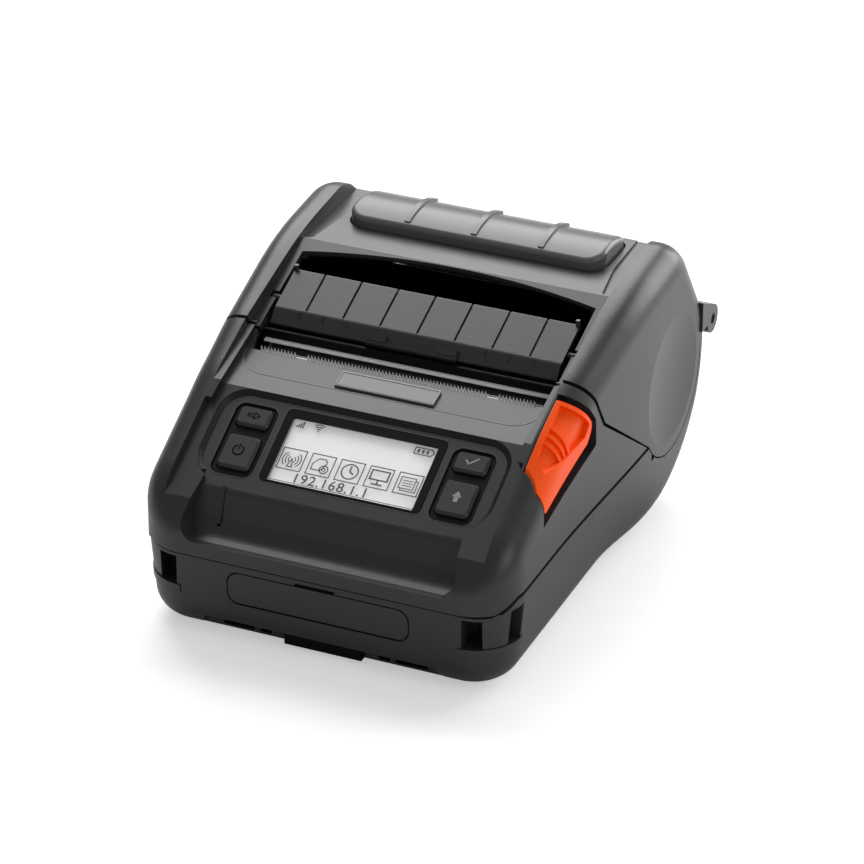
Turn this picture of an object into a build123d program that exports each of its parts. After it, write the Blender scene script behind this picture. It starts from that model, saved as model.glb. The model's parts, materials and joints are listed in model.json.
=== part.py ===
from build123d import *
import math
import os

os.makedirs("parts", exist_ok=True)

# Portable label printer, lying on its feet. Sizes are in mm.
# X runs across, Y from the front lip to the rear hinge, Z up from the ground.

# Body form
FRONT_Y = -75.3
REAR_Y = 71.0
BASE_Z = 1.2
PART_Z = 25.0
SIDE_PART_Z = 28.4
PART_GAP = 1.2
HALF_FRONT = 54.0
HALF_REAR = 56.3
TUB_HALF = 51.8
TUB_FRONT_Y = -73.9
EDGE_R = 8.0
WALL = 2.4
SEAM = 0.4
SILL = 0.35
FAR = 90.0

# Channel between the shoulders, control panel and mouth
CHANNEL_HALF = 46.2
CHANNEL_SLOPE = 2.2
DECK_HALF = 43.8
DECK_FRONT_Y = -31.5
DECK_SINK = 0.5
PANEL_FOOT = (-62.0, 44.0)
PANEL_TILT = 28.3
PANEL_TOP_V = 27.6
PANEL_SINK = 1.2
PANEL_HALF = 42.5
COVE_HALF = 41.0
COVE_TOP_HALF = 36.0
MOUTH_HALF = 43.7
MOUTH_FRONT_Y = -22.4
MOUTH_REAR_Y = 12.7

# Hinge of the cover, roll and platen axes: (Y, Z)
HINGE = (71.1, 45.7)
ROLL = (33.5, 43.2)
PLATEN = (-9.5, 53.0)
PLATEN_R = 5.5
FLAP_PIVOT = (-3.6, 67.0)
KNUCKLE_IN = (HALF_REAR - 15.8, HALF_REAR - 7.4)
KNUCKLE_OUT = (HALF_REAR - 6.8, HALF_REAR + 0.6)
KNUCKLE_R = 4.2
PIN_R = 1.5
IDLER = (-10.65, 40.30)
MOTOR = (-19.52, 33.88)
DOOR_PIVOT = (-73.5, 13.2)
JACK = (-56.0, 33.9)

GEAR_MODULE = 0.6
PLATEN_TEETH = 18
IDLER_TEETH = 24
PINION_TEETH = 12

tilt = math.radians(PANEL_TILT)
panel = Plane(
    origin=(0, PANEL_FOOT[0], PANEL_FOOT[1]),
    x_dir=(1, 0, 0),
    z_dir=(0, -math.sin(tilt), math.cos(tilt)),
)
pieces = {}


def panel_point(v, height=0.0):
    """(Y, Z) of a point v up the panel and height above it."""
    y = PANEL_FOOT[0] + v * math.cos(tilt) - height * math.sin(tilt)
    z = PANEL_FOOT[1] + v * math.sin(tilt) + height * math.cos(tilt)
    return (y, z)


def side_face(points, radii=None):
    """Closed outline in the side view, with optional corner radii."""
    with BuildSketch(Plane.YZ) as face:
        with BuildLine():
            if radii:
                FilletPolyline(*points, radius=radii, close=True)
            else:
                Polyline(*points, close=True)
        make_face()
    return face.sketch_local


def inset_outline(points, radii, inset):
    """Clockwise outline moved inward, with its corner radii to match."""
    moved = []
    rounds = []
    count = len(points)
    for k in range(count):
        before, here, after = points[k - 1], points[k], points[(k + 1) % count]
        in_x, in_y = here[0] - before[0], here[1] - before[1]
        out_x, out_y = after[0] - here[0], after[1] - here[1]
        in_len, out_len = math.hypot(in_x, in_y), math.hypot(out_x, out_y)
        in_x, in_y, out_x, out_y = in_x / in_len, in_y / in_len, out_x / out_len, out_y / out_len
        turn = in_x * out_y - in_y * out_x
        along = (1 - in_x * out_x - in_y * out_y) / turn if abs(turn) > 1e-6 else 0.0
        normal = (in_y, -in_x)
        x = here[0] + inset * (normal[0] - along * in_x * -1)
        y = here[1] + inset * (normal[1] - along * in_y * -1)
        moved.append((x, y))
        rounds.append(max(radii[k] - inset, 0.0) if turn < 0 else radii[k] + (inset if radii[k] else 0))
    return moved, rounds


def side_block(points, x_low, x_high, radii=None):
    """Prism of a side-view outline between two x planes."""
    with BuildPart() as block:
        with BuildSketch(Plane.YZ.offset(x_low)):
            add(side_face(points, radii))
        extrude(amount=x_high - x_low)
    return block.part


def brick(x, y, z, mode=Mode.ADD):
    """Box between (low, high) limits."""
    with Locations(((x[0] + x[1]) / 2, (y[0] + y[1]) / 2, (z[0] + z[1]) / 2)):
        Box(x[1] - x[0], y[1] - y[0], z[1] - z[0], mode=mode)


def rod(x, centre, radius, mode=Mode.ADD):
    """Cylinder along X between (low, high), centred on (Y, Z)."""
    with Locations(((x[0] + x[1]) / 2, centre[0], centre[1])):
        Cylinder(radius, x[1] - x[0], rotation=(0, 90, 0), mode=mode)


def post(x, y, z, radius, mode=Mode.ADD):
    """Upright cylinder between the (low, high) heights z."""
    with Locations((x, y, (z[0] + z[1]) / 2)):
        Cylinder(radius, z[1] - z[0], mode=mode)


def span(side, low, high):
    """Limits along X on one side of the middle plane."""
    return (low, high) if side > 0 else (-high, -low)


def gear_face(teeth, bore):
    """Straight-sided gear outline with backlash, round a bore."""
    pitch_r = GEAR_MODULE * teeth / 2
    root_r = pitch_r - 1.2 * GEAR_MODULE
    tip_r = pitch_r + 0.85 * GEAR_MODULE
    step = 360 / teeth
    with BuildSketch(Plane.XY) as gear:
        Circle(root_r)
        with PolarLocations(0, teeth):
            Polygon(
                (root_r - 0.3, -0.60),
                (root_r, -0.56),
                (pitch_r, -0.37),
                (tip_r, -0.14),
                (tip_r, 0.14),
                (pitch_r, 0.37),
                (root_r, 0.56),
                (root_r - 0.3, 0.60),
                align=None,
            )
        Circle(bore, mode=Mode.SUBTRACT)
    return gear.sketch_local, step


def meshed_turn(centre, teeth, turn, other, other_teeth):
    """Turn that puts a gap of the other gear on the tooth nearest the line of centres."""
    line = math.degrees(math.atan2(other[1] - centre[1], other[0] - centre[0]))
    step = 360 / teeth
    lead = (turn - line + step / 2) % step - step / 2
    return line + 180 - lead * teeth / other_teeth + 180 / other_teeth


def side_gear(x, centre, teeth, bore, turn=0.0):
    """Gear on an axis along X, between (low, high)."""
    face, step = gear_face(teeth, bore)
    with BuildPart() as gear:
        with BuildSketch(Plane.YZ.offset(x[0])):
            with Locations(Location((centre[0], centre[1], 0), (0, 0, turn))):
                add(face)
        extrude(amount=x[1] - x[0])
    return gear.part


def half_plan(front, half_front, half_rear, corner, flare_from, flare_to, inset):
    """Plan outline of the case: straight front, flaring to the rear width."""
    front += inset
    half_front -= inset
    half_rear -= inset
    corner -= inset
    with BuildSketch(Plane.XY) as plan:
        with BuildLine():
            start = (0, front)
            nose = Line(start, (half_front - corner, front))
            turn = TangentArc(nose @ 1, (half_front, front + corner), tangent=(1, 0))
            Line(turn @ 1, (half_front, flare_from))
            Spline((half_front, flare_from), (half_rear, flare_to), tangents=[(0, 1), (0, 1)])
            Line((half_rear, flare_to), (half_rear, FAR))
            Line((half_rear, FAR), (0, FAR))
            Line((0, FAR), start)
        make_face()
        mirror(about=Plane.YZ)
    return plan.sketch_local


def side_profile(inset):
    """Side outline of the whole case: panel slope, shoulders, round drum."""
    points = [
        (-80, 26.1),
        (-67.5, 43.2),
        (-36, 60.4),
        (-18, 67.6),
        (18, 77.6),
        (50, 80.0),
        (REAR_Y, 50.0),
        (REAR_Y, BASE_Z),
        (-FAR, BASE_Z),
        (-FAR, 12.4),
    ]
    points, radii = inset_outline(points, [0, 25, 60, 60, 120, 14, 18, 40, 0, 0], inset)
    return side_face(points, radii)


def is_long_edge(edge, step_z, front_y):
    """True for the edges that run round the case from front to rear."""
    spots = [edge @ t for t in (0, 0.25, 0.5, 0.75, 1)]
    spans = []
    for axis in ("X", "Y", "Z"):
        values = [getattr(spot, axis) for spot in spots]
        spans.append(max(values) - min(values))
    across = spans[1] < 0.01 and spans[2] < 0.01
    upright = (spans[0] < 0.01 and spans[1] < 0.01) or (spans[2] > 18 and spots[2].Z < step_z)
    step = max(abs(spot.Z - step_z) for spot in spots) < 0.01
    front = across and spots[2].Y < front_y + 0.01 and not step
    return front or not (across or upright or step)


def case_form(inset=0.0):
    """Whole outer form of the case, or the same form set in by a wall."""
    with BuildPart() as form:
        with BuildSketch(Plane.XY.offset(PART_Z)):
            add(half_plan(FRONT_Y, HALF_FRONT, HALF_REAR, 14, -40, 30, inset))
        extrude(amount=60)
        with BuildSketch(Plane.XY):
            add(half_plan(TUB_FRONT_Y, TUB_HALF, HALF_REAR - 0.5, 13, 12, 30, inset))
        with BuildSketch(Plane.XY.offset(PART_Z)):
            add(half_plan(TUB_FRONT_Y, HALF_FRONT, HALF_REAR, 13, -40, 30, inset))
        loft()
        with BuildSketch(Plane.YZ):
            add(side_profile(inset))
        extrude(amount=70, both=True, mode=Mode.INTERSECT)
        rims = [e for e in form.edges() if is_long_edge(e, PART_Z, TUB_FRONT_Y + inset)]
        fillet(rims, EDGE_R - inset)
    return form.part


def cover_side(front_shift, grow):
    """Side view of the hinged cover: sloping front, round sides, rear top."""
    outline = [
        (-21.6 + front_shift, 72.0),
        (-9.1 + front_shift, 51.4),
        (28.2, 24.3),
        (36.5, 18.6),
        (62.0, 38.5),
        (65.0, 45.0),
        (FAR, 45.0),
        (FAR, 110),
        (-21.6 + front_shift, 110),
    ]
    with BuildSketch(Plane.YZ) as view:
        with BuildLine():
            Polyline(*outline, close=True)
        make_face()
        with Locations((41.0, 40.0)):
            Circle(21.5)
        offset(amount=grow)
    return view.sketch_local


def cover_zone(front_shift, grow):
    """Full-width prism of the side view of the cover."""
    with BuildPart() as zone:
        with BuildSketch(Plane.YZ):
            add(cover_side(front_shift, grow))
        extrude(amount=70, both=True)
    return zone.part


def panel_plate(u, v, height, radius=0.0):
    """Rounded plate on the panel plane between (low, high) limits."""
    middle = panel.offset(height[0])
    with BuildPart() as plate:
        with BuildSketch(middle):
            with Locations(((u[0] + u[1]) / 2, (v[0] + v[1]) / 2)):
                if radius:
                    RectangleRounded(u[1] - u[0], v[1] - v[0], radius)
                else:
                    Rectangle(u[1] - u[0], v[1] - v[0])
        extrude(amount=height[1] - height[0])
    return plate.part


outer = case_form()
inner = case_form(WALL)

# Sunken channel, panel recess, cove and mouth, cut from the form
channel_floor = [
    (-74.0, 37.54),
    (-37.6, 57.13),
    (-22.4, 60.9),
    (-15.6, 63.7),
    (12.7, 73.8),
    (17.5, 75.5),
    (29.0, 75.6),
    (64.0, 75.0),
    (64.0, 95.0),
    (-74.0, 95.0),
]
deck_run = Plane((0, -44.0, 55.2), x_dir=(1, 0, 0), z_dir=(0, 22.0, 6.57))
with BuildPart() as channel:
    add(side_block(channel_floor, -CHANNEL_HALF, CHANNEL_HALF))
    # Sloped side walls along the front run of the channel
    with BuildSketch(deck_run):
        for side in (-1, 1):
            foot = (side * (CHANNEL_HALF - CHANNEL_SLOPE), -2.0)
            Polygon(foot, (side * 47.0, -2.0), (side * 47.0, 7.0), align=None)
    extrude(amount=29.6, mode=Mode.SUBTRACT)
recess = panel_plate((-PANEL_HALF, PANEL_HALF), (-3.2, PANEL_TOP_V), (-PANEL_SINK, 9.0), 8.0)
recess = recess & panel_plate((-PANEL_HALF, PANEL_HALF), (-3.2, 60.0), (-PANEL_SINK, 9.0), 11.5)
# Shallow pocket of the deck round the front of the mouth
deck_floor = [(-37.6, 57.13 - DECK_SINK), (-22.4, 60.9 - DECK_SINK), (-15.6, 63.7 - DECK_SINK)]
with BuildPart() as deck_pocket:
    with BuildSketch(Plane.XY.offset(50)):
        with Locations((0, DECK_FRONT_Y + 20)):
            RectangleRounded(2 * DECK_HALF, 40, 8)
    extrude(amount=40)
    add(side_block([*deck_floor, (-15.6, 95.0), (-37.6, 95.0)], -60, 60), mode=Mode.INTERSECT)
cove_outline = [
    (-95.0, 29.2),
    (-73.4, 29.5),
    (-68.6, 31.0),
    (-65.0, 41.03),
    (-60.0, 43.72),
    (-60.0, 95.0),
    (-95.0, 95.0),
]
cove_front = [(-COVE_TOP_HALF, 50), (-COVE_HALF, 28.8), (COVE_HALF, 28.8), (COVE_TOP_HALF, 50)]
with BuildPart() as cove:
    with BuildSketch(Plane.XZ.offset(60)):
        with BuildLine():
            FilletPolyline(*cove_front, radius=[0, 6, 6, 0], close=True)
        make_face()
    extrude(amount=40)
    add(side_block(cove_outline, -60, 60, [0, 1.0, 6.5, 3.0, 0, 0, 0]), mode=Mode.INTERSECT)
with BuildPart() as mouth:
    with BuildSketch(Plane.XY.offset(46)):
        with BuildLine():
            Polyline(
                (-MOUTH_HALF, MOUTH_REAR_Y),
                (-MOUTH_HALF, -17.0),
                (-MOUTH_HALF + 1.1, MOUTH_FRONT_Y),
                (MOUTH_HALF - 1.1, MOUTH_FRONT_Y),
                (MOUTH_HALF, -17.0),
                (MOUTH_HALF, MOUTH_REAR_Y),
            )
            ThreePointArc((MOUTH_HALF, MOUTH_REAR_Y), (0, 17.2), (-MOUTH_HALF, MOUTH_REAR_Y))
        make_face()
    extrude(amount=50)
# Undercut behind the rear edge of the mouth, so that the edge is thin
lip_line = [(-15.6, 40), (-15.6, 62.7), (MOUTH_REAR_Y, 72.8), (17.5, 74.5), (29.0, 74.6), (29.0, 40)]
with BuildPart() as undercut:
    with BuildSketch(Plane.XY.offset(46)):
        with BuildLine():
            Polyline((-42.2, 14.1), (-42.2, 8.0), (42.2, 8.0), (42.2, 14.1))
            ThreePointArc((42.2, 14.1), (0, 18.7), (-42.2, 14.1))
        make_face()
    extrude(amount=50)
    add(side_block(lip_line, -60, 60), mode=Mode.INTERSECT)

# Hollow of the shells, kept under the channel, the panel and the cove
roof_line = [
    (-95.0, 27.0),
    (-70.6, 27.2),
    (-66.4, 30.6),
    (-62.2, 39.6),
    (-38.0, 52.6),
    (-36.5, 54.9),
    (-22.4, 58.3),
    (-15.6, 61.2),
    (12.7, 71.3),
    (17.5, 73.0),
    (29.0, 73.1),
    (64.0, 72.4),
    (64.0, 95.0),
    (-95.0, 95.0),
]
with BuildPart() as hollow:
    add(inner)
    add(side_block(roof_line, -60, 60), mode=Mode.SUBTRACT)

case_zone = cover_zone(0.0, SEAM / 2)
moving_zone = cover_zone(0.9, -SEAM / 2)

# Status light: a narrow lens over the edge between panel and cove
light_zone = [
    (-70.6, 33.0),
    (-67.0, 42.2),
    (-63.9, 42.2),
    (-63.9, 38.0),
    (-64.6, 36.0),
    (-66.9, 31.1),
]
light_lens = [
    (-68.7, 32.8),
    (-66.2, 38.6),
    (-65.2, 41.1),
    (-64.1, 41.9),
    (-64.1, 39.4),
    (-66.2, 32.8),
]

# Parting line: low at the front lip, higher along the sides
def parting_side(gap):
    """Side view of all that lies above the parting line, moved by a gap."""
    low, high = PART_Z + gap, SIDE_PART_Z + gap
    return [(-95, low), (-71.5, low), (-65.0, high), (40, high), (40, 100), (-95, 100)]


above_case = side_block(parting_side(-PART_GAP * 2 / 3), -70, 70)
housing_zone = side_block(parting_side(PART_GAP / 3), -70, 70)

# Inner walls of the lower case, trimmed to its outer form
with BuildPart() as case_blocks:
    for side in (-1, 1):
        brick(span(side, 39.6, 56.0), (-75, -60), (13.2, 28.0))
        post(side * 44.2, -48.0, (3.0, 27.6), 3.4)
        post(side * 44.2, -2.0, (3.0, 27.6), 3.4)
        brick(span(side, 22.0, 25.0), (-61.2, -57.0), (3.0, 20.0))
        brick(span(side, 30.0, 32.0), (20.0, 25.4), (3.0, 20.0))
        brick(span(side, 30.0, 32.0), (41.8, 46.0), (3.0, 20.0))
        post(side * 36.0, -61.5, (1.2, 4.6), 5.0)
    brick((-38.6, 38.6), (-57.6, -8.4), (3.0, 22.4))
    brick((-29, 29), (-75, -69.4), (11.0, 24.2))
    brick((-36, 36), (-75, -64), (1.2, 8.5))
    add(outer, mode=Mode.INTERSECT)
    rod((-60, 60), ROLL, 30.15, mode=Mode.SUBTRACT)

# Arm of the hinge knuckles of the case, in the side view
case_arm = [
    (64.5, 30),
    (67.9, 36),
    (74.9, 43.6),
    (75.2, 46),
    (71.1, 49.8),
    (67.1, 44.9),
    (65.2, 43.6),
]
cheek_outline = [(12, 3), (12, 38), (20, 43.8), (60, 43.8), (64.5, 40), (66, 3)]
with BuildPart() as cheeks:
    for side in (-1, 1):
        add(side_block(cheek_outline, *span(side, 50.6, 52.0)))
    add(inner, mode=Mode.INTERSECT)

# Rounded sills under the strap slots, standing out of the corners
with BuildPart() as sills:
    for side in (-1, 1):
        brick(span(side, 40.2, 60.0), (-80, -60.8), (12.2, 14.6))
    add(case_form(-SILL), mode=Mode.INTERSECT)
    add(inner, mode=Mode.SUBTRACT)

# Lower case: the tub, and the round rear of the roll chamber
with BuildPart() as lower_case:
    add(outer)
    add(hollow.part, mode=Mode.SUBTRACT)
    add(case_blocks.part)
    add(sills.part)
    add(case_zone, mode=Mode.SUBTRACT)
    add(above_case, mode=Mode.SUBTRACT)
    add(cheeks.part)
    # Board posts on the battery bay
    for x in (-30, 30):
        for y in (-50, -36):
            post(x, y, (22.0, 26.0), 2.0)
    # Post of the guide pinion
    post(0, ROLL[0], (3.0, 11.6), 1.5)
    post(0, ROLL[0], (3.0, 9.0), 2.6)
    # Battery bay and its latch slot, open downward
    brick((-37, 37), (-56, -10), (-1, 20.8), mode=Mode.SUBTRACT)
    brick((-6.3, 6.3), (-63.4, -55), (-1, 4.4), mode=Mode.SUBTRACT)
    brick((-12.3, 12.3), (-11, -8), (8.0, 14.0), mode=Mode.SUBTRACT)
    # Strap slots round the front corner pillars
    for side in (-1, 1):
        brick(span(side, 41.2, 46.6), (-76, -64), (14.6, 23.3), mode=Mode.SUBTRACT)
        brick(span(side, 41.2, 58.0), (-67.0, -62.0), (14.6, 25.2), mode=Mode.SUBTRACT)
        # Small notch where the seams of cover, housing and case meet
        brick(span(side, HALF_REAR - 1.9, 60.0), (25.4, 27.4), (22.6, 24.6), mode=Mode.SUBTRACT)
    # Door recess, its pivot holes, nail notch and connector openings
    with BuildSketch(Plane.XZ.offset(71.85)):
        with Locations((0, 17.4)):
            RectangleRounded(52.9, 9.9, 3.5)
    extrude(amount=6, mode=Mode.SUBTRACT)
    for side in (-1, 1):
        rod(span(side, 24.0, 25.9), DOOR_PIVOT, 0.33, mode=Mode.SUBTRACT)
    brick((-6.5, 5.0), (-75, -72.6), (21.5, 23.1), mode=Mode.SUBTRACT)
    brick((-19.0, -10.0), (-73, -69), (15.4, 19.0), mode=Mode.SUBTRACT)
    brick((-5.0, 8.0), (-73, -69), (14.6, 20.4), mode=Mode.SUBTRACT)
    brick((12.0, 20.0), (-73, -69), (15.4, 19.0), mode=Mode.SUBTRACT)
    # Dock recess under the front edge, its openings and contact seat
    with BuildSketch(Plane.XZ.offset(69.4)):
        with BuildLine():
            Polyline((-38, -2), (-33.2, 6.5), (33.2, 6.5), (38, -2), close=True)
        make_face()
    extrude(amount=10, mode=Mode.SUBTRACT)
    for side in (-1, 1):
        brick(span(side, 20.7, 29.8), (-71, -65.4), (2.6, 5.7), mode=Mode.SUBTRACT)
        brick(span(side, 15.7, 19.0), (-71, -65.4), (2.6, 5.7), mode=Mode.SUBTRACT)
        post(side * 36.0, -61.5, (-1, 1.6), 4.0, mode=Mode.SUBTRACT)
        post(side * 40.0, 26.0, (-1, 1.6), 5.0, mode=Mode.SUBTRACT)
        # Screw counterbores and clearance holes
        for y in (-48.0, -2.0):
            post(side * 44.2, y, (-1, 6.0), 2.9, mode=Mode.SUBTRACT)
            post(side * 44.2, y, (5, 30), 1.5, mode=Mode.SUBTRACT)
    brick((-11.3, 11.3), (-70.8, -63.8), (-1, 6.4), mode=Mode.SUBTRACT)
    # Hinge knuckles at the rear
    for side in (-1, 1):
        rod(span(side, KNUCKLE_IN[1] + 0.3, 60.0), HINGE, 4.6, mode=Mode.SUBTRACT)
        add(side_block(case_arm, *span(side, *KNUCKLE_IN)))
        rod(span(side, *KNUCKLE_IN), HINGE, KNUCKLE_R)
        rod(span(side, 38.0, 60.0), HINGE, PIN_R, mode=Mode.SUBTRACT)

# Upper housing: front half of the top shell
shoulder_block = [(-52, 38), (-52, 75), (-12.4, 75), (-12.4, 44), (-16, 38)]
latch_outline = [
    (-48.4, 44.3),
    (-48.8, 50.5),
    (-43.6, 57.5),
    (-43.6, 72.0),
    (-28.6, 80.0),
    (-25.6, 66.4),
    (-16.2, 55.2),
    (-19.6, 51.0),
]
pocket_outline = [
    (-48.9, 40.6),
    (-49.4, 50.7),
    (-44.1, 57.8),
    (-44.1, 72.0),
    (-27.2, 84.0),
    (-23.8, 67.4),
    (-14.2, 55.6),
    (-13.8, 47.6),
]
with BuildPart() as latch_skin:
    add(outer)
    add(inner, mode=Mode.SUBTRACT)
    add(side_block(latch_outline, 47.2, 60, [0.6, 0, 0, 0, 0, 4, 3, 2]), mode=Mode.INTERSECT)
# Thumb scoop of the latch, with three chevron steps across it
scoop_outline = [
    (-43.6, 53.6),
    (-40.8, 58.2),
    (-40.8, 75.0),
    (-30.0, 80.0),
    (-27.6, 66.6),
    (-18.6, 56.4),
    (-21.4, 53.6),
]
with BuildPart() as latch_scoop:
    add(side_block(scoop_outline, 48.7, 60))
    add(outer, mode=Mode.INTERSECT)
    add(case_form(1.5), mode=Mode.SUBTRACT)
with BuildPart() as grip_steps:
    for y in (-35.4, -33.0, -30.6):
        chevron = [(y, 75), (y - 1.8, 60.0), (y, 48), (y + 1.0, 48), (y - 0.8, 60.0), (y + 1.0, 75)]
        add(side_block(chevron, 48.7, 60))
    add(side_block(scoop_outline, 48.7, 60), mode=Mode.INTERSECT)
    add(case_form(0.6), mode=Mode.INTERSECT)
    add(inner, mode=Mode.SUBTRACT)
with BuildPart() as latch_pocket:
    add(side_block(pocket_outline, 46.9, 60, [0, 0, 0, 0, 0, 4, 3, 1]))
    add(case_form(3.3), mode=Mode.SUBTRACT)
with BuildPart() as housing_hollow:
    add(hollow.part)
    add(side_block(shoulder_block, 48.4, 60), mode=Mode.SUBTRACT)
    for side in (-1, 1):
        for y in (-48.0, -2.0):
            brick(span(side, 44.2, 60.0), (y - 0.9, y + 0.9), (20, 35.0), mode=Mode.SUBTRACT)
            post(side * 44.2, y, (20, 35.0), 3.0, mode=Mode.SUBTRACT)
    brick((-60, 4.6 - HALF_FRONT), (-63, -49), (20, 40), mode=Mode.SUBTRACT)
with BuildPart() as upper_housing:
    add(outer)
    add(housing_hollow.part, mode=Mode.SUBTRACT)
    add(housing_zone, mode=Mode.INTERSECT)
    add(case_zone, mode=Mode.SUBTRACT)
    add(channel.part, mode=Mode.SUBTRACT)
    add(deck_pocket.part, mode=Mode.SUBTRACT)
    add(recess, mode=Mode.SUBTRACT)
    add(cove.part, mode=Mode.SUBTRACT)
    add(mouth.part, mode=Mode.SUBTRACT)
    add(latch_pocket.part, mode=Mode.SUBTRACT)
    brick((46.0, 52.0), (-34.2, -23.0), (50.8, 56.6), mode=Mode.SUBTRACT)
    # Openings for the display bezel and the two keypads
    add(panel_plate((-23.3, 23.3), (1.4, 24.8), (-9, 9), 1.6), mode=Mode.SUBTRACT)
    for side in (-1, 1):
        add(panel_plate(span(side, 25.5, 37.7), (0.9, 23.7), (-9, 9), 2.6), mode=Mode.SUBTRACT)
    # Slot of the status light across the panel edge
    add(side_block(light_zone, -31.6, -30.4), mode=Mode.SUBTRACT)
    # Seat of the jack cover low on the left side
    seat_y = (JACK[0] - 5.3, JACK[0] + 5.3)
    brick((-60, 1.4 - HALF_FRONT), seat_y, (JACK[1] - 3.5, JACK[1] + 3.5), mode=Mode.SUBTRACT)
    rod((-60, -48), JACK, 3.2, mode=Mode.SUBTRACT)
    for side in (-1, 1):
        for y in (-48.0, -2.0):
            post(side * 44.2, y, (20, 34.2), 1.3, mode=Mode.SUBTRACT)

# Paper cover: hinged rear half of the top shell
cover_arm = [
    (62.5, 45.4),
    (62.5, 54.5),
    (68.0, 51.8),
    (73.0, 49.4),
    (75.2, 46.5),
    (71.1, 41.6),
    (67.2, 45.4),
]
with BuildPart() as paper_cover:
    add(outer)
    add(moving_zone, mode=Mode.INTERSECT)
    add(hollow.part, mode=Mode.SUBTRACT)
    add(channel.part, mode=Mode.SUBTRACT)
    add(mouth.part, mode=Mode.SUBTRACT)
    add(undercut.part, mode=Mode.SUBTRACT)
    # Long triangular pockets beside the shoulders
    pocket_plan = [(45.9, 18), (43.2, 18), (40.6, 34), (40.0, 55), (45.9, 55)]
    with BuildSketch(Plane.XY.offset(74.6)):
        for side in (-1, 1):
            with BuildLine():
                corners = [(side * x, y) for x, y in pocket_plan]
                FilletPolyline(*corners, radius=[0, 1.2, 8, 0, 0], close=True)
            make_face()
    extrude(amount=12, mode=Mode.SUBTRACT)
    # Seat of the roll window: a rounded opening with a ledge under it
    with BuildSketch(Plane.XY.offset(74.0)):
        with Locations((0, 40.65)):
            RectangleRounded(77.6, 23.5, 6)
    extrude(amount=12, mode=Mode.SUBTRACT)
    with BuildSketch(Plane.XY.offset(66)):
        with Locations((0, 40.65)):
            RectangleRounded(73.6, 19.5, 4)
    extrude(amount=12, mode=Mode.SUBTRACT)
    # Dished discs on the sides and notches for the flap pins
    for side in (-1, 1):
        with Locations((side * (HALF_REAR + 150.0), 40.5, 41.0)):
            Sphere(151.2, mode=Mode.SUBTRACT)
        brick(span(side, 43.0, 45.7), (-4.8, -2.4), (65.8, 72), mode=Mode.SUBTRACT)
        # Hinge knuckles outside the knuckles of the case
        low, high = KNUCKLE_IN[0] - 0.4, KNUCKLE_OUT[0] - 0.3
        rod(span(side, low, high), HINGE, 4.6, mode=Mode.SUBTRACT)
        add(side_block(cover_arm, *span(side, *KNUCKLE_OUT)))
        rod(span(side, *KNUCKLE_OUT), HINGE, KNUCKLE_R)
        rod(span(side, 38.0, 60.0), HINGE, PIN_R + 0.06, mode=Mode.SUBTRACT)

with BuildPart() as hinge_pins:
    for side in (-1, 1):
        rod(span(side, KNUCKLE_IN[0], HALF_REAR - 0.1), HINGE, PIN_R)

# Roll window: ribbed bulge over the roll
with BuildPart() as roll_window:
    with BuildSketch(Plane.XY.offset(74.05)):
        with Locations((0, 40.65)):
            RectangleRounded(76.4, 22.3, 5.4)
    extrude(amount=12)
    rod((-60, 60), (38.3, 56.2), 24.0, mode=Mode.INTERSECT)
    crown = [e for e in roll_window.edges() if (e @ 0.5).Z > 75.2]
    fillet(crown, 1.6)
with BuildPart() as window_core:
    with BuildSketch(Plane.XY.offset(70)):
        with Locations((0, 40.65)):
            RectangleRounded(73.0, 18.9, 4)
    extrude(amount=16)
    rod((-60, 60), (38.3, 56.2), 22.2, mode=Mode.INTERSECT)
with BuildPart() as window_ribs:
    for x in (-20, 0, 20):
        rod((x - 0.8, x + 0.8), (38.9, 56.2), 24.6)
    brick((-30, 30), (30.9, 50.8), (76.0, 90), mode=Mode.INTERSECT)
with roll_window:
    add(window_ribs.part)
    add(window_core.part, mode=Mode.SUBTRACT)

# Control panel pieces
with BuildPart() as lcd_bezel:
    add(panel_plate((-23.2, 23.2), (1.5, 24.7), (-4.4, -1.0), 1.5))
    add(panel_plate((-21.1, 21.1), (2.0, 22.4), (-6, 0), 0.4), mode=Mode.SUBTRACT)
    add(panel_plate((-21.9, 21.9), (1.9, 23.6), (-6, -1.8)), mode=Mode.SUBTRACT)
with BuildPart() as display_window:
    add(panel_plate((-21.8, 21.8), (2.0, 23.5), (-2.5, -1.82)))
with BuildPart() as lcd_module:
    add(panel_plate((-21.8, 21.8), (2.0, 23.5), (-5.9, -2.52)))
key_rows = {"lower": (2.6, 13.7), "upper": (16.2, 22.8)}
key_u = (26.5, 36.7)
for side, name in ((-1, "left"), (1, "right")):
    with BuildPart() as keypad:
        add(panel_plate(span(side, 25.6, 37.6), (1.0, 23.6), (-3.5, -1.5), 2.5))
        for low, high in key_rows.values():
            cut = panel_plate(span(side, *key_u), (low, high), (-5, 0), 1.6)
            add(cut, mode=Mode.SUBTRACT)
    pieces[f"{name}_keypad"] = keypad
    for row, (low, high) in key_rows.items():
        with BuildPart() as key:
            inner_u = span(side, key_u[0] + 0.25, key_u[1] - 0.25)
            cap = panel_plate(inner_u, (low + 0.25, high - 0.25), (-4.2, -0.2), 1.4)
            add(cap)
            top = max(key.faces(), key=lambda face: face.center().dot(panel.z_dir))
            chamfer(top.edges(), 0.7)
            add(panel_plate(span(side, 25.9, 37.3), (low - 0.5, high + 0.5), (-4.7, -3.8)))
        pieces[f"{row}_{name}_key"] = key
with BuildPart() as control_board:
    add(panel_plate((-40, 40), (-1.0, 27.0), (-7.6, -6.0)))
with BuildPart() as key_switches:
    for side in (-1, 1):
        for low, high in key_rows.values():
            middle = (low + high) / 2
            add(panel_plate(span(side, 30.1, 33.1), (middle - 1.5, middle + 1.5), (-6.0, -5.5)))
with BuildPart() as status_light:
    add(side_block(light_lens, -31.5, -30.5))
badge_y = (-30.4, -24.6)
deck_rise = (deck_floor[1][1] - deck_floor[0][1]) / (deck_floor[1][0] - deck_floor[0][0])
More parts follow.
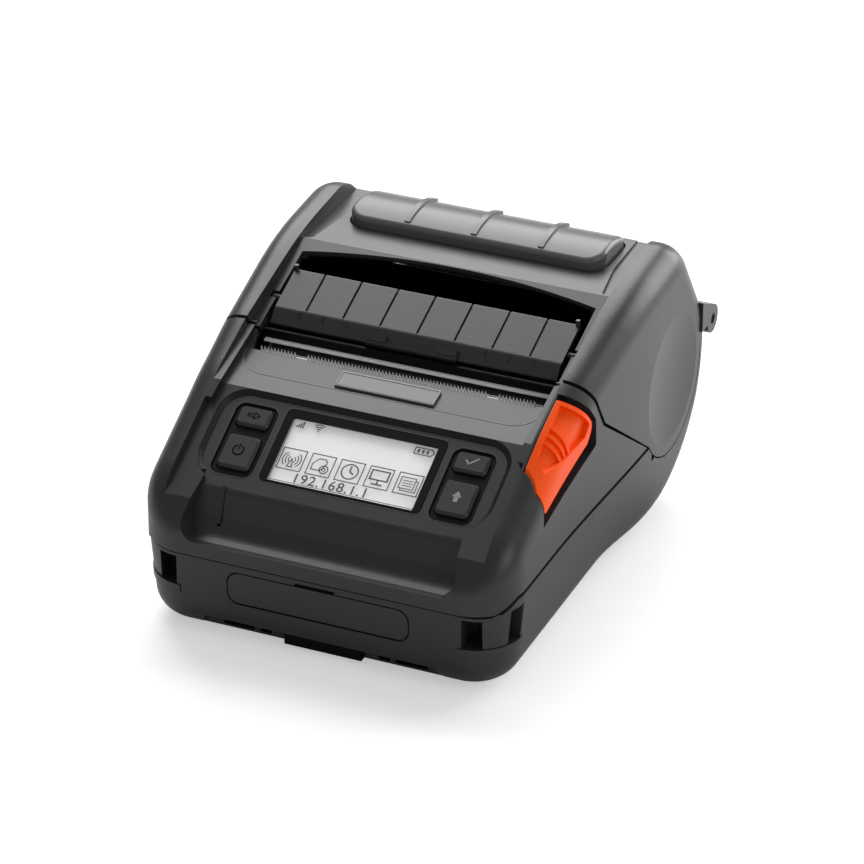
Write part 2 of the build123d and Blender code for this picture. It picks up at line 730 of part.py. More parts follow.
badge_low = deck_floor[1][1] - (deck_floor[1][0] - badge_y[0]) * deck_rise
badge_high = deck_floor[1][1] - (deck_floor[1][0] - badge_y[1]) * deck_rise
badge_outline = [
    (badge_y[0], badge_low),
    (badge_y[0], badge_low + 0.8),
    (badge_y[1], badge_high + 0.8),
    (badge_y[1], badge_high),
]
with BuildPart() as badge_plate:
    add(side_block(badge_outline, -14.4, 14.4))

# Cover latch on the right shoulder, with its hook behind the platen shaft
with BuildPart() as cover_latch:
    add(latch_skin.part)
    add(latch_scoop.part, mode=Mode.SUBTRACT)
    add(grip_steps.part)
hook_outline = [
    (-33.0, 51.5),
    (-24.6, 51.5),
    (-22.0, 43.0),
    (-3.0, 43.0),
    (-1.0, 46.0),
    (-1.0, 56.0),
    (-6.6, 57.6),
    (-6.6, 55.8),
    (-4.0, 54.6),
    (-4.0, 47.0),
    (-20.0, 47.0),
    (-24.0, 55.0),
    (-33.0, 55.0),
]
with BuildPart() as latch_hook:
    add(side_block(hook_outline, 46.4, 48.2))
    brick((47.5, 51.6), (-32.5, -25.5), (51.6, 54.9))

# Front interface door with its pivots
with BuildPart() as interface_door:
    with BuildSketch(Plane.XZ.offset(72.0)):
        with Locations((0, 17.4)):
            RectangleRounded(52.2, 9.2, 3.5)
    extrude(amount=1.9)
    # Rounded lower edge, which turns in the recess
    with BuildPart(mode=Mode.PRIVATE) as door_stem:
        brick((-30, 30), (-80, -70), (DOOR_PIVOT[1], 30))
        rod((-30, 30), DOOR_PIVOT, 0.42)
        brick((-30, 30), (DOOR_PIVOT[0], -72.0), (12.8, 30))
    add(door_stem.part, mode=Mode.INTERSECT)
    # Lower corners cut back, clear of the rounded corners of the recess
    for side in (-1, 1):
        brick(span(side, 24.3, 27.0), (-75.0, -70.0), (12.0, 13.65), mode=Mode.SUBTRACT)
        rod(span(side, 23.0, 25.5), DOOR_PIVOT, 0.25)

# Print frame, head and comb behind the deck of the housing
plate_outline = [
    (-27, 24.0),
    (-27, 57.0),
    (-14.4, 57.0),
    (-14.4, 47.0),
    (-4, 47.0),
    (-4, 38),
    (-10, 24.0),
]
# Cradle in the top of each side plate, which the platen shaft drops into
cradle_outline = [
    (-14.4, 47.0),
    (-14.4, 57.0),
    (-12.6, 57.0),
    (-12.2, 49.8),
    (-6.8, 49.8),
    (-6.3, 57.0),
    (-4, 57.0),
    (-4, 47.0),
]
with BuildPart() as platen_cradles:
    for side in (-1, 1):
        add(side_block(cradle_outline, *span(side, 45.8, 46.3)))
with BuildPart() as print_frame:
    for side in (-1, 1):
        add(side_block(plate_outline, *span(side, 45.8, 46.3)))
    brick((-46.3, 46.3), (-27.0, -25.8), (44.0, 57.0))
    brick((-46.3, 46.3), (-27.0, -10.2), (22.9, 24.1))
    brick((-46.3, 46.3), (-5.2, -0.8), (41.0, 42.4))
    rod((-50, -40), MOTOR, 4.0, mode=Mode.SUBTRACT)
with BuildPart() as print_head:
    brick((-42.0, 42.0), (-16.6, -15.15), (47.5, 57.0))
with BuildPart() as head_bracket:
    brick((-42.0, 42.0), (-19.8, -16.6), (46.0, 56.6))
    brick((-42.0, 42.0), (-23.2, -16.6), (56.5, 57.4))
with BuildPart() as head_springs:
    for x in (-28, 0, 28):
        with Locations((x, -22.8, 51.0)):
            Cylinder(2.2, 6.0, rotation=(90, 0, 0))
            Cylinder(1.4, 6.0, rotation=(90, 0, 0), mode=Mode.SUBTRACT)
with BuildPart() as tear_comb:
    brick((-40.1, 40.1), (-23.4, -18.3), (57.45, 57.95))
    with BuildSketch(Plane.XY.offset(57.45)):
        for step in range(-44, 45):
            if abs(abs(step * 0.9) - 28.4) > 1.6:
                with Locations((step * 0.9, -18.35)):
                    Polygon((-0.36, 0), (0.36, 0), (0, 0.95), align=None)
    extrude(amount=0.5)

# Platen and its gear on the cover
platen_turn = math.degrees(math.atan2(IDLER[1] - PLATEN[1], IDLER[0] - PLATEN[0]))
idler_turn = meshed_turn(PLATEN, PLATEN_TEETH, platen_turn, IDLER, IDLER_TEETH)
pinion_turn = meshed_turn(IDLER, IDLER_TEETH, idler_turn, MOTOR, PINION_TEETH)
with BuildPart() as platen_roller:
    rod((-41.2, 41.2), PLATEN, PLATEN_R)
    rod((-50, 50), PLATEN, 2.0, mode=Mode.SUBTRACT)
with BuildPart() as platen_shaft:
    rod((-49.7, 48.2), PLATEN, 2.0)
with BuildPart() as platen_gear:
    add(side_gear((-49.6, -47.6), PLATEN, PLATEN_TEETH, 2.0, platen_turn))
with BuildPart() as platen_bushings:
    for side in (-1, 1):
        rod(span(side, 42.9, 45.3), PLATEN, 3.6)
    rod((-50, 50), PLATEN, 2.04, mode=Mode.SUBTRACT)
carrier_outline = [
    (-14.2, 59.7),
    (-13.6, 48.8),
    (-5.4, 48.8),
    (-1.5, 58.0),
    (9.0, 66.0),
    (10.0, 70.25),
    (-12.3, 62.3),
]
with BuildPart() as platen_frame:
    for side in (-1, 1):
        add(side_block(carrier_outline, *span(side, 42.9, 45.3)))
    brick((-43.2, 43.2), (-13.8, -12.8), (59.75, 62.5))
    rod((-50, 50), PLATEN, 3.6, mode=Mode.SUBTRACT)
    for side in (-1, 1):
        rod(span(side, 42.5, 45.0), FLAP_PIVOT, 1.3, mode=Mode.SUBTRACT)
with BuildPart() as tear_bar:
    add(side_block([(-14.9, 59.7), (-14.9, 59.3), (-11.9, 58.95), (-11.9, 59.7)], -42.6, 42.6))

# Peeler flap with its roller and clip
flap_outline = [
    (5.1, 72.2),
    (-8.6, 66.8),
    (-11.9, 63.3),
    (-10.9, 62.3),
    (-7.9, 65.3),
    (5.7, 70.7),
]
flap_cheek = [
    (2.0, 70.4),
    (-8.6, 66.2),
    (-11.2, 63.4),
    (-10.4, 61.9),
    (-7.0, 61.6),
    (-2.2, 65.6),
    (2.4, 69.5),
]
lip_tick = [(-8.4, 66.2), (-9.05, 66.85), (-10.15, 65.7), (-9.5, 65.0)]
peel_axis = (-8.3, 62.9)
with BuildPart() as peeler_flap:
    add(side_block(flap_outline, -42.2, 42.2, [0.4, 2.0, 0.6, 0.2, 0.8, 0.4]))
    for side in (-1, 1):
        add(side_block(flap_cheek, *span(side, 40.9, 42.2)))
        rod(span(side, 41.0, 44.9), FLAP_PIVOT, 0.9)
        brick(span(side, 41.2, 42.2), (4.2, 5.2), (70.5, 73.6))
    rod((-42, 42), peel_axis, 0.65, mode=Mode.SUBTRACT)
    for k in range(7):
        x = -33.0 + 11.0 * k
        groove = [(7.0, 72.2), (7.0, 75.0), (-10.0, 68.5), (-7.4, 66.6)]
        add(side_block(groove, x - 0.35, x + 0.35), mode=Mode.SUBTRACT)
    for side in (-1, 1):
        for x in (20.5, 27.5, 34.5):
            add(side_block(lip_tick, *span(side, x - 0.2, x + 0.2)))
with BuildPart() as peel_roller:
    rod((-40.5, 40.5), peel_axis, 1.3)
    rod((-41.8, 41.8), peel_axis, 0.6)
with BuildPart() as peeler_clip:
    clip_outline = [(-11.0, 64.25), (-12.1, 65.0), (-12.9, 63.9), (-12.5, 62.9), (-11.9, 63.3)]
    tab_outline = [(-10.2, 65.1), (-11.4, 66.1), (-12.6, 64.9), (-12.1, 63.9), (-11.5, 63.73)]
    add(side_block(clip_outline, -13.3, 13.3))
    for side in (-1, 1):
        add(side_block(tab_outline, *span(side, 7.6, 13.3)))

# Drive: idler, motor and its pinion on the left side of the print frame
with BuildPart() as idler_gear:
    add(side_gear((-49.6, -47.6), IDLER, IDLER_TEETH, 1.55, idler_turn))
with BuildPart() as idler_axle:
    rod((-49.8, -46.3), IDLER, 1.5)
    rod((-47.3, -46.3), IDLER, 2.6)
with BuildPart() as drive_motor:
    rod((-45.6, -26.0), MOTOR, 8.8)
    rod((-46.6, -45.6), MOTOR, 3.5)
    rod((-47.0, -41.0), MOTOR, 1.05, mode=Mode.SUBTRACT)
with BuildPart() as motor_shaft:
    rod((-49.7, -41.5), MOTOR, 1.0)
with BuildPart() as motor_pinion:
    add(side_gear((-49.6, -47.6), MOTOR, PINION_TEETH, 1.0, pinion_turn))

# Media tray and the two coupled paper guides
with BuildPart() as roll_tray:
    rod((-44, 44), ROLL, 30.1)
    rod((-45, 45), ROLL, 28.5, mode=Mode.SUBTRACT)
    brick((-50, 50), (-10, 34), (48.0, 90), mode=Mode.SUBTRACT)
    brick((-50, 50), (30, 80), (42.0, 90), mode=Mode.SUBTRACT)
    for side, y in ((1, 39.45), (-1, 27.55)):
        brick(span(side, 22.5, 43.0), (y - 1.7, y + 1.7), (8, 22), mode=Mode.SUBTRACT)
GUIDE_PITCH_R = 4.2
guide_tooth = math.pi * GEAR_MODULE
rack_tooth = [(-0.56, 0.1), (0.56, 0.1), (0.37, -0.75), (0.14, -1.25), (-0.14, -1.25), (-0.37, -0.75)]
for side, name in ((-1, "left"), (1, "right")):
    y0 = ROLL[0] + side * (GUIDE_PITCH_R + 0.75)
    with BuildPart() as guide:
        with BuildSketch(Plane.YZ.offset(41.0 if side > 0 else -42.4)):
            with Locations(ROLL):
                Circle(22.0)
            with Locations((y0 + side * 1.0, 22)):
                Rectangle(2.6, 26)
        extrude(amount=1.4)
        brick(span(side, 30, 50), (0, 80), (0, 9.0), mode=Mode.SUBTRACT)
        rack_y = sorted((y0, y0 + side * 2.2))
        rack_x = (-6.5, 42.4) if side > 0 else (-42.4, 6.5)
        brick(rack_x, rack_y, (9.0, 11.4))
        with BuildSketch(Plane.XY.offset(9.0)):
            for step in range(-3, 12):
                with Locations((side * step * guide_tooth, y0)):
                    Polygon(*[(x, y * side) for x, y in rack_tooth], align=None)
        extrude(amount=2.4)
    pieces[f"{name}_guide"] = guide
face, step = gear_face(14, 1.55)
with BuildPart() as guide_pinion:
    with BuildSketch(Plane.XY.offset(9.1)):
        with Locations(Location((0, ROLL[0], 0), (0, 0, 90 + step / 2))):
            add(face)
    extrude(amount=2.2)

# Sensor, boards, connectors, battery
with BuildPart() as label_sensor:
    brick((8.0, 20.0), (-5.0, -1.0), (42.4, 45.0))
with BuildPart() as main_board:
    brick((-39.5, 39.5), (-57.0, -31.0), (26.0, 27.6))
    brick((-20, -6), (-50, -38), (27.6, 29.4))
    brick((8, 18), (-48, -40), (27.6, 30.6))
with BuildPart() as interface_board:
    brick((-26, 26), (-62.8, -61.2), (9.4, 24.0))
with BuildPart() as usb_socket:
    brick((-18.8, -10.2), (-70.9, -62.8), (15.6, 18.8))
    brick((-18.0, -11.0), (-72, -66.0), (16.3, 18.1), mode=Mode.SUBTRACT)
with BuildPart() as serial_socket:
    brick((-4.8, 7.8), (-70.9, -62.8), (14.8, 20.2))
    brick((-3.8, 6.8), (-72, -66.0), (15.8, 19.2), mode=Mode.SUBTRACT)
with BuildPart() as service_socket:
    brick((12.2, 19.8), (-70.9, -62.8), (15.6, 18.8))
    brick((13.0, 19.0), (-72, -66.0), (16.3, 18.1), mode=Mode.SUBTRACT)
with BuildPart() as dock_contact_block:
    brick((-11.25, 11.25), (-70.8, -63.9), (1.5, 6.35))
with BuildPart() as dock_contacts:
    for k in range(5):
        x = -7.2 + 3.6 * k
        brick((x - 0.8, x + 0.8), (-69.4, -65.4), (1.2, 1.5))
with BuildPart() as battery_pack:
    brick((-36.7, 36.7), (-55.7, -10.3), (1.5, 20.4))
    brick((-6.8, 6.8), (-56, -53.6), (0, 4.6), mode=Mode.SUBTRACT)
with BuildPart() as battery_latch:
    brick((-6.0, 6.0), (-61.2, -54.7), (1.6, 3.7))
    brick((-8.4, 8.4), (-61.2, -58.0), (3.7, 4.6))
with BuildPart() as battery_contacts:
    brick((-12.0, 12.0), (-10.25, -6.5), (8.3, 13.7))
with BuildPart() as jack_cover:
    flap_y = (JACK[0] - 5.0, JACK[0] + 4.3)
    brick((-HALF_FRONT - 0.4, 1.0 - HALF_FRONT), flap_y, (JACK[1] - 3.2, JACK[1] + 3.2))
    brick((-HALF_FRONT - 1.2, -HALF_FRONT), (flap_y[0], flap_y[0] + 1.4), (JACK[1] - 2, JACK[1] + 2))
    post(0.3 - HALF_FRONT, flap_y[1], (JACK[1] - 3.2, JACK[1] + 3.2), 0.7)
with BuildPart() as power_jack:
    rod((1.5 - HALF_FRONT, -43.0), JACK, 3.0)
    rod((-HALF_FRONT, -46.0), JACK, 2.0, mode=Mode.SUBTRACT)
    rod((1.6 - HALF_FRONT, -45.0), JACK, 0.7)
with BuildPart() as case_screws:
    for side in (-1, 1):
        for y in (-48.0, -2.0):
            post(side * 44.2, y, (4.2, 6.0), 2.6)
            post(side * 44.2, y, (6.0, 32.5), 1.25)
with BuildPart() as feet:
    for side in (-1, 1):
        post(side * 36.0, -61.5, (0, 1.6), 3.9)
        post(side * 40.0, 26.0, (0, 1.6), 4.9)

named = {
    "lower_case": lower_case,
    "upper_housing": upper_housing,
    "paper_cover": paper_cover,
    "hinge_pins": hinge_pins,
    "roll_window": roll_window,
    "lcd_bezel": lcd_bezel,
    "display_window": display_window,
    "lcd_module": lcd_module,
    "control_board": control_board,
    "key_switches": key_switches,
    "status_light": status_light,
    "badge_plate": badge_plate,
    "cover_latch": cover_latch,
    "latch_hook": latch_hook,
    "interface_door": interface_door,
    "print_frame": print_frame,
    "platen_cradles": platen_cradles,
    "print_head": print_head,
    "head_bracket": head_bracket,
    "head_springs": head_springs,
    "tear_comb": tear_comb,
    "platen_roller": platen_roller,
    "platen_shaft": platen_shaft,
    "platen_gear": platen_gear,
    "platen_bushings": platen_bushings,
    "platen_frame": platen_frame,
    "tear_bar": tear_bar,
    "peeler_flap": peeler_flap,
    "peel_roller": peel_roller,
    "peeler_clip": peeler_clip,
    "idler_gear": idler_gear,
    "idler_axle": idler_axle,
    "drive_motor": drive_motor,
    "motor_shaft": motor_shaft,
    "motor_pinion": motor_pinion,
    "roll_tray": roll_tray,
    "guide_pinion": guide_pinion,
    "label_sensor": label_sensor,
    "main_board": main_board,
    "interface_board": interface_board,
    "usb_socket": usb_socket,
    "serial_socket": serial_socket,
    "service_socket": service_socket,
    "dock_contact_block": dock_contact_block,
    "dock_contacts": dock_contacts,
    "battery_pack": battery_pack,
    "battery_latch": battery_latch,
    "battery_contacts": battery_contacts,
    "jack_cover": jack_cover,
    "power_jack": power_jack,
    "case_screws": case_screws,
    "feet": feet,
}
pieces.update(named)
for name, piece in pieces.items():
    piece.part.label = name
    export_step(piece.part, f"parts/{name}.step")
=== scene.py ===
"""Looks of a portable label printer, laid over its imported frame."""

import json
import math

import bmesh
import bpy
from mathutils import Matrix, Vector


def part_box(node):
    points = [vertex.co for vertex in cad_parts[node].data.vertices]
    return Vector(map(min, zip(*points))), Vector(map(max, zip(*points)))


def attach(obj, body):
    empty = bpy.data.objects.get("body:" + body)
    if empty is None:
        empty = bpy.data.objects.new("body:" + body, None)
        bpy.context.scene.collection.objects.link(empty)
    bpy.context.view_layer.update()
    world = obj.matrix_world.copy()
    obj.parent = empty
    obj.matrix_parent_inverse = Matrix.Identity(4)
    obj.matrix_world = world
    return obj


bl_info = {
    "name": "Label Printer Looks",
    "version": (1, 0, 0),
    "blender": (4, 5, 0),
    "location": "3D View > Sidebar > Printer",
    "description": "Finishes, display picture, key marks and studio of a portable label printer",
    "category": "Object",
}

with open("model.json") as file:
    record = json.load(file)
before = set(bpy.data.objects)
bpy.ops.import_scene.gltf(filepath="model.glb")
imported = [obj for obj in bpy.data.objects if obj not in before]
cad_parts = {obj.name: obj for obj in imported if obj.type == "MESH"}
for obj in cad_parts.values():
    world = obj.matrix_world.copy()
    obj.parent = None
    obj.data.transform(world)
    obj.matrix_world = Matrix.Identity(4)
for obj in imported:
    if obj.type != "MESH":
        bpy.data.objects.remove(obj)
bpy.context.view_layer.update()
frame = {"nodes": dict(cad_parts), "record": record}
MM = 0.001

# The control panel: a plane that rises from front to rear
PANEL_FOOT = Vector((0, -62.0, 44.0)) * MM
PANEL_TILT = math.radians(28.3)
PANEL_X = Vector((1, 0, 0))
PANEL_UP = Vector((0, math.cos(PANEL_TILT), math.sin(PANEL_TILT)))
PANEL_OUT = Vector((0, -math.sin(PANEL_TILT), math.cos(PANEL_TILT)))
PANEL = Matrix.Translation(PANEL_FOOT) @ Matrix((PANEL_X, PANEL_UP, PANEL_OUT)).transposed().to_4x4()

# The visible window of the display, between two corners (u, v) on that plane, in mm
WINDOW_LEFT = -21.8
WINDOW_TOP = 23.5
WINDOW_WIDTH = 43.6
WINDOW_HEIGHT = 21.5

# The sloping bank round the panel, a near-black sheet of painted shade, in mm on that plane: corners,
# radii from the lower left, and how far it reaches inwards and down
BANK_LOW = Vector((-42.4, -3.1))
BANK_HIGH = Vector((42.4, 27.5))
BANK_RADII = (11.4, 11.4, 7.9, 7.9)
BANK_WIDTH = 1.3
BANK_DROP = 1.12
BANK_OPEN_BELOW = 1.5

# Outlines of the two keypads and of the display frame: low corner, high corner and radius, in mm
JOINTS = (
    ((-37.9, 0.7), (-25.3, 23.9), 2.8),
    ((25.3, 0.7), (37.9, 23.9), 2.8),
    ((-23.5, 1.2), (23.5, 25.0), 1.8),
)
JOINT_WIDTH = 0.35
# Width of the painted highlight ring just outside each joint, in mm
JOINT_HIGHLIGHT = 0.16
JOINT_DEPTH = 1.1

# The deck slopes up to the mouth; the badge plate lies on it
DECK_TILT = math.atan(0.248)
BADGE = Matrix.Translation(Vector((0, -30.4, 59.216)) * MM) @ Matrix.Rotation(DECK_TILT, 4, "X")
BADGE_HALF = 14.4
BADGE_LENGTH = 5.976

# Front edge of the shallow pocket in the deck, where a painted highlight runs: its line, and the centre
# and radius of its corners
DECK_EDGE_Y = -31.55
DECK = Matrix.Translation(Vector((0, DECK_EDGE_Y, 58.63)) * MM) @ Matrix.Rotation(DECK_TILT, 4, "X")
DECK_CORNER = (35.8, -23.5)
DECK_CORNER_R = 8.05

# Painted highlight on the steel edge across the mouth: corners in plan, lower and upper face, and the
# radius of its edges, in mm
BAR_LOW = Vector((-42.6, -15.1))
BAR_HIGH = Vector((42.6, -13.7))
BAR_BOTTOM = 59.2
BAR_TOP = 59.95
BAR_EDGE_R = 0.15

# Toothed comb: half length, front and back, the foot of the strip and of the teeth, and the two
# breaks in the row of teeth, in mm
COMB_HALF = 40.1
COMB_FRONT = -22.0
COMB_BACK = -21.7
COMB_FOOT = 57.9
TOOTH_FOOT = 60.2
BREAK_PLACE = 28.4
BREAK_HALF = 1.6

# Top of the keys under the panel plane
KEY_TOP = -0.2 * MM


class FinishSettings(bpy.types.PropertyGroup):
    """Colours of the surfaces."""

    shell: bpy.props.FloatVectorProperty(
        name="Shell",
        description="Charcoal plastic of the case, housing and cover",
        subtype="COLOR",
        default=(0.022, 0.022, 0.023),
        min=0,
        max=1,
    )
    window: bpy.props.FloatVectorProperty(
        name="Roll window",
        description="Smoother plastic of the bulge over the roll",
        subtype="COLOR",
        default=(0.11, 0.106, 0.107),
        min=0,
        max=1,
    )
    black: bpy.props.FloatVectorProperty(
        name="Black",
        description="Black plastic of frames and inner parts",
        subtype="COLOR",
        default=(0.0035, 0.0035, 0.004),
        min=0,
        max=1,
    )
    keys: bpy.props.FloatVectorProperty(
        name="Keys",
        description="Rubber of the four keys and of the pads round them",
        subtype="COLOR",
        default=(0.024, 0.024, 0.025),
        min=0,
        max=1,
    )
    orange: bpy.props.FloatVectorProperty(
        name="Latch",
        description="Orange plastic of the cover latch",
        subtype="COLOR",
        default=(1.0, 0.088, 0.001),
        min=0,
        max=1,
    )
    display: bpy.props.FloatVectorProperty(
        name="Display",
        description="Pale grey of the display",
        subtype="COLOR",
        default=(0.92, 0.92, 0.92),
        min=0,
        max=1,
    )
    ink: bpy.props.FloatVectorProperty(
        name="Display ink",
        description="Grey of the lines on the display",
        subtype="COLOR",
        default=(0.10, 0.10, 0.11),
        min=0,
        max=1,
    )
    # The same grey also paints the highlight rim round the badge plate
    mark: bpy.props.FloatVectorProperty(
        name="Key marks",
        description="Grey of the pale marks on the keys",
        subtype="COLOR",
        default=(0.30, 0.30, 0.30),
        min=0,
        max=1,
    )


class DisplaySettings(bpy.types.PropertyGroup):
    """Sizes of the picture on the display."""

    depth: bpy.props.FloatProperty(
        name="Depth",
        description="Depth of the picture's face under the panel plane",
        unit="LENGTH",
        default=1.77 * MM,
    )
    line: bpy.props.FloatProperty(
        name="Line",
        description="Width of the drawn lines",
        unit="LENGTH",
        default=0.3 * MM,
    )
    numbers: bpy.props.StringProperty(
        name="Numbers",
        description="Plain numbers in the lowest row",
        default="192.168.1.1",
    )


class EdgeSettings(bpy.types.PropertyGroup):
    """Sizes of the steel edges and of the thin rim, a painted highlight."""

    tooth_pitch: bpy.props.FloatProperty(
        name="Tooth pitch",
        description="Distance between two teeth of the tear comb",
        unit="LENGTH",
        default=1.0 * MM,
    )
    tooth_length: bpy.props.FloatProperty(
        name="Tooth length",
        description="Length of one tooth",
        unit="LENGTH",
        default=1.5 * MM,
    )
    # The rim round the badge is a painted highlight
    rim: bpy.props.FloatProperty(
        name="Rim",
        description="Width of the bright rim round the badge plate",
        unit="LENGTH",
        default=0.4 * MM,
    )


class StageSettings(bpy.types.PropertyGroup):
    """Camera and light."""

    focal: bpy.props.FloatProperty(
        name="Focal length",
        description="Focal length in mm on a 36 mm sensor",
        default=171.1,
    )
    key_power: bpy.props.FloatProperty(
        name="Key light",
        description="Power of the large lamp above",
        subtype="POWER",
        default=15.0,
    )
    back_power: bpy.props.FloatProperty(
        name="Back light",
        description="Power of the large lamp behind, which gives the gloss on top",
        subtype="POWER",
        default=11.0,
    )
    fill_power: bpy.props.FloatProperty(
        name="Fill light",
        description="Power of the lamp at the front right",
        subtype="POWER",
        default=2.6,
    )


def grain_group():
    """Moulded texture: colour, roughness and height that change over the surface."""
    name = "Moulded Grain"
    if name in bpy.data.node_groups:
        return bpy.data.node_groups[name]
    group = bpy.data.node_groups.new(name, "ShaderNodeTree")
    sockets = group.interface
    sockets.new_socket("Color", in_out="INPUT", socket_type="NodeSocketColor")
    for label, value in (("Roughness", 0.5), ("Grain Scale", 900.0), ("Variation", 0.12)):
        socket = sockets.new_socket(label, in_out="INPUT", socket_type="NodeSocketFloat")
        socket.default_value = value
    sockets.new_socket("Color", in_out="OUTPUT", socket_type="NodeSocketColor")
    sockets.new_socket("Roughness", in_out="OUTPUT", socket_type="NodeSocketFloat")
    sockets.new_socket("Height", in_out="OUTPUT", socket_type="NodeSocketFloat")
    nodes, links = group.nodes, group.links
    start = nodes.new("NodeGroupInput")
    end = nodes.new("NodeGroupOutput")
    place = nodes.new("ShaderNodeTexCoord")
    fine = nodes.new("ShaderNodeTexNoise")
    fine.inputs["Detail"].default_value = 3.0
    broad = nodes.new("ShaderNodeTexNoise")
    broad.inputs["Scale"].default_value = 22.0
    broad.inputs["Detail"].default_value = 4.0
    links.new(place.outputs["Object"], fine.inputs["Vector"])
    links.new(place.outputs["Object"], broad.inputs["Vector"])
    links.new(start.outputs["Grain Scale"], fine.inputs["Scale"])
    both = nodes.new("ShaderNodeMath")
    both.operation = "MULTIPLY_ADD"
    both.inputs[1].default_value = 0.5
    links.new(fine.outputs["Fac"], both.inputs[0])
    half = nodes.new("ShaderNodeMath")
    half.operation = "MULTIPLY"
    half.inputs[1].default_value = 0.5
    links.new(broad.outputs["Fac"], half.inputs[0])
    links.new(half.outputs[0], both.inputs[2])
    centre = nodes.new("ShaderNodeMath")
    centre.operation = "SUBTRACT"
    centre.inputs[1].default_value = 0.5
    links.new(both.outputs[0], centre.inputs[0])
    amount = nodes.new("ShaderNodeMath")
    amount.operation = "MULTIPLY"
    links.new(centre.outputs[0], amount.inputs[0])
    links.new(start.outputs["Variation"], amount.inputs[1])
    value = nodes.new("ShaderNodeMath")
    value.operation = "ADD"
    value.inputs[1].default_value = 1.0
    links.new(amount.outputs[0], value.inputs[0])
    tint = nodes.new("ShaderNodeHueSaturation")
    links.new(start.outputs["Color"], tint.inputs["Color"])
    links.new(value.outputs[0], tint.inputs["Value"])
    rough = nodes.new("ShaderNodeMath")
    rough.operation = "MULTIPLY_ADD"
    rough.inputs[1].default_value = 0.6
    links.new(amount.outputs[0], rough.inputs[0])
    links.new(start.outputs["Roughness"], rough.inputs[2])
    links.new(tint.outputs["Color"], end.inputs["Color"])
    links.new(rough.outputs[0], end.inputs["Roughness"])
    links.new(fine.outputs["Fac"], end.inputs["Height"])
    return group


def finish_material(
    name,
    color,
    roughness,
    grain=900.0,
    variation=0.2,
    bump=0.05,
    metallic=0.0,
    coat=0.0,
    gloss=0.5,
    glow=0.0,
):
    """Principled material with the moulded grain."""
    material = bpy.data.materials.new(name)
    material.use_nodes = True
    nodes, links = material.node_tree.nodes, material.node_tree.links
    shader = nodes["Principled BSDF"]
    group = nodes.new("ShaderNodeGroup")
    group.node_tree = grain_group()
    group.inputs["Color"].default_value = (*color, 1)
    group.inputs["Roughness"].default_value = roughness
    group.inputs["Grain Scale"].default_value = grain
    group.inputs["Variation"].default_value = variation
    links.new(group.outputs["Color"], shader.inputs["Base Color"])
    links.new(group.outputs["Roughness"], shader.inputs["Roughness"])
    relief = nodes.new("ShaderNodeBump")
    relief.inputs["Strength"].default_value = bump
    relief.inputs["Distance"].default_value = 0.0002
    links.new(group.outputs["Height"], relief.inputs["Height"])
    links.new(relief.outputs["Normal"], shader.inputs["Normal"])
    shader.inputs["Metallic"].default_value = metallic
    shader.inputs["Coat Weight"].default_value = coat
    shader.inputs["Specular IOR Level"].default_value = gloss
    shader.inputs["Emission Color"].default_value = (1, 1, 1, 1)
    shader.inputs["Emission Strength"].default_value = glow
    return material


def glass_material(name, roughness):
    """Thin clear glass: a faint gloss over what lies under it."""
    material = bpy.data.materials.new(name)
    material.use_nodes = True
    shader = material.node_tree.nodes["Principled BSDF"]
    shader.inputs["Base Color"].default_value = (0.95, 0.97, 0.97, 1)
    shader.inputs["Roughness"].default_value = roughness
    shader.inputs["Alpha"].default_value = 0.1
    return material


def finishes(settings):
    """Materials by the record's slot names."""
    return {
        "case_plastic": finish_material("shell plastic", settings.shell, 0.36, bump=0.1),
        "window_plastic": finish_material("window plastic", settings.window, 0.3, bump=0.04),
        "black_plastic": finish_material("black plastic", settings.black, 0.42, gloss=0.1),
        "key_rubber": finish_material("key rubber", settings.keys, 0.42, gloss=0.4),
        "pad_rubber": finish_material("pad rubber", (0.003, 0.003, 0.003), 0.5, gloss=0.15),
        "cover_rubber": finish_material("soft rubber", (0.022, 0.022, 0.022), 0.7, bump=0.15),
        "roller_rubber": finish_material("roller rubber", (0.014, 0.014, 0.015), 0.6),
        "orange_plastic": finish_material(
            "orange plastic", settings.orange, 0.4, variation=0.1, gloss=0.22
        ),
        "display_glass": glass_material("display glass", 0.05),
        # The display's pale grey is its own colour; its faint emission is a painted glow that makes it
        # brighter than the lamps do
        "display_grey": finish_material(
            "display grey with painted glow", settings.display, 0.5, variation=0.05, bump=0.0, glow=0.2
        ),
        "light_lens": finish_material("light lens", (0.02, 0.02, 0.02), 0.25, bump=0.0),
        "gear_plastic": finish_material("gear plastic", (0.72, 0.71, 0.66), 0.4),
        "display_ink": finish_material("display ink", settings.ink, 0.6, variation=0.1, bump=0.0),
        "key_mark": finish_material("key mark and badge rim highlight", settings.mark, 0.5, variation=0.1, bump=0.0),
        "key_relief": finish_material("key relief", (0.004, 0.004, 0.004), 0.5, bump=0.0, gloss=0.1),
        "gap_black": finish_material("gap black", (0.002, 0.002, 0.002), 0.6, bump=0.0, gloss=0.1),
        # Near-black sheet on the recess wall: painted shade
        "bank_painted_shade": finish_material("painted shade on bank", (0.007, 0.007, 0.007), 0.45, gloss=0.3),
        # Painted highlight: pale grey laid along edges where light catches them
        "edge_light": finish_material("painted edge highlight", (0.09, 0.09, 0.09), 0.35, bump=0.0),
        # Flat white, not metal: the steel's own pale colour with a painted glint
        "tooth_white": finish_material("pale steel with painted glint", (0.78, 0.78, 0.78), 0.5, bump=0.0),
        "badge_plastic": finish_material("badge plate", (0.09, 0.088, 0.09), 0.3, bump=0.03),
        "dark_steel": finish_material("dark steel", (0.10, 0.10, 0.10), 0.4, metallic=1.0, bump=0.05),
        "steel": finish_material("bare steel", (0.62, 0.62, 0.62), 0.3, metallic=1.0, bump=0.02),
        "alloy": finish_material("cast alloy", (0.5, 0.5, 0.51), 0.45, metallic=1.0, bump=0.2),
        "ceramic": finish_material("glazed ceramic", (0.7, 0.71, 0.69), 0.2, coat=0.5),
        "brass": finish_material("brass", (0.72, 0.5, 0.2), 0.3, metallic=1.0),
        "board": finish_material("green board", (0.015, 0.12, 0.045), 0.35, coat=0.3),
    }


